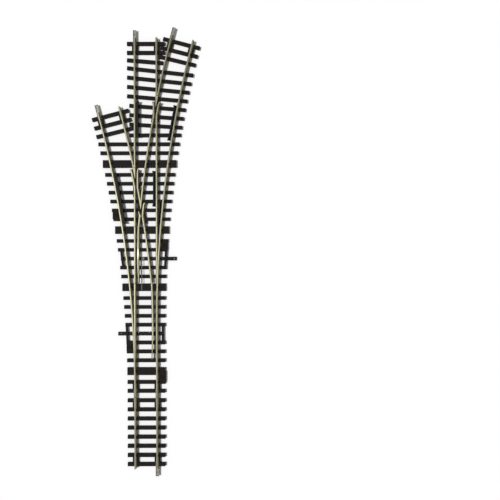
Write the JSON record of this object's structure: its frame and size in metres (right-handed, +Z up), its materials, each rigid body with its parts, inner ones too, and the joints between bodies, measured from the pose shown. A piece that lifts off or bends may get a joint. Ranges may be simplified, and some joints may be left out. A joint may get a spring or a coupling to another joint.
{
  "type": "model railway three-way turnout",
  "caption": "H0 scale asymmetric three-way turnout with pivoting switch blades, sliding throw bars, frogs, check rails and a short straight lead track.",
  "frame": {"origin": "centre of the track at the outer end of the lead track's rails, on the plane of the sleepers' undersides", "axes": "+Y along the straight track from the toe to the heel, +X to the right of travel, +Z up"},
  "size_m": [0.0874, 0.3606, 0.0041],
  "materials": {
    "sleeper_plastic": "moulded black-brown, matt with a faint wood grain",
    "check_rail_plastic": "moulded black, satin on the running face",
    "throw_bar_plastic": "moulded black, satin",
    "slip_plastic": "moulded black",
    "rail_metal": "drawn nickel silver, satin with a bright running face",
    "frog_metal": "milled nickel silver, satin",
    "joiner_metal": "folded nickel silver sheet, dulled",
    "pin_steel": "drawn steel wire"
  },
  "bodies": {
    "track": {"sleeper_base": "sleeper_plastic", "lead_sleeper_base": "sleeper_plastic", "lead_left_rail": "rail_metal", "lead_right_rail": "rail_metal", "left_stock_rail": "rail_metal", "right_stock_rail": "rail_metal", "straight_left_closure_rail": "rail_metal", "straight_right_closure_rail": "rail_metal", "left_branch_closure_rail": "rail_metal", "right_branch_closure_rail": "rail_metal", "centre_frog_left_wing": "rail_metal", "centre_frog_right_wing": "rail_metal", "centre_frog_nose": "frog_metal", "left_frog_left_wing": "rail_metal", "left_frog_right_wing": "rail_metal", "left_frog_nose": "frog_metal", "right_frog_left_wing": "rail_metal", "right_frog_right_wing": "rail_metal", "right_frog_nose": "frog_metal", "right_branch_middle_rail": "rail_metal", "left_branch_right_rail": "rail_metal", "right_branch_left_rail": "rail_metal", "straight_left_heel_rail": "rail_metal", "straight_right_heel_rail": "rail_metal", "left_stock_check_rail": "check_rail_plastic", "straight_left_check_rail": "check_rail_plastic", "straight_right_check_rail": "check_rail_plastic", "right_stock_check_rail": "check_rail_plastic", "right_branch_check_rail": "check_rail_plastic", "insulating_slips": "slip_plastic", "detent_wire": "pin_steel", "toe_joiner": "joiner_metal", "straight_heel_joiner": "joiner_metal", "left_heel_joiner": "joiner_metal", "right_heel_joiner": "joiner_metal", "lead_joiners": "joiner_metal"},
    "throw_bar_1": {"throw_bar_1": "throw_bar_plastic"},
    "throw_bar_2": {"throw_bar_2": "throw_bar_plastic"},
    "switch_1_left": {"switch_1_left_blade": "rail_metal", "switch_1_left_pins": "pin_steel"},
    "switch_1_right": {"switch_1_right_blade": "rail_metal", "switch_1_right_pins": "pin_steel"},
    "switch_2_left": {"switch_2_left_blade": "rail_metal", "switch_2_left_pins": "pin_steel"},
    "switch_2_right": {"switch_2_right_blade": "rail_metal", "switch_2_right_pins": "pin_steel"}
  },
  "joints": [
    {"name": "throw_bar_1_slide", "type": "slide", "parent": "track", "child": "throw_bar_1", "axis": [1, 0, 0], "range_m": [0, 0.00205]},
    {"name": "throw_bar_2_slide", "type": "slide", "parent": "track", "child": "throw_bar_2", "axis": [-1, 0, 0], "range_m": [0, 0.00125]},
    {"name": "switch_1_left_pivot", "type": "hinge", "parent": "track", "child": "switch_1_left", "pos_m": [-0.00875, 0.1453, 0.002], "axis": [0, 0, 1], "range_deg": [0, 3.15]},
    {"name": "switch_1_right_pivot", "type": "hinge", "parent": "track", "child": "switch_1_right", "pos_m": [0.00479, 0.1453, 0.002], "axis": [0, 0, 1], "range_deg": [0, 3.15]},
    {"name": "switch_2_left_pivot", "type": "hinge", "parent": "track", "child": "switch_2_left", "pos_m": [-0.00581, 0.1913, 0.002], "axis": [0, 0, -1], "range_deg": [0, 3.12]},
    {"name": "switch_2_right_pivot", "type": "hinge", "parent": "track", "child": "switch_2_right", "pos_m": [0.00875, 0.1913, 0.002], "axis": [0, 0, -1], "range_deg": [0, 3.12]}
  ],
  "couplings": [
    {"joint": "switch_1_left_pivot", "follows": "throw_bar_1_slide", "rad_per_m": 26.81},
    {"joint": "switch_1_right_pivot", "follows": "throw_bar_1_slide", "rad_per_m": 26.81},
    {"joint": "switch_2_left_pivot", "follows": "throw_bar_2_slide", "rad_per_m": 43.478},
    {"joint": "switch_2_right_pivot", "follows": "throw_bar_2_slide", "rad_per_m": 43.478}
  ]
}
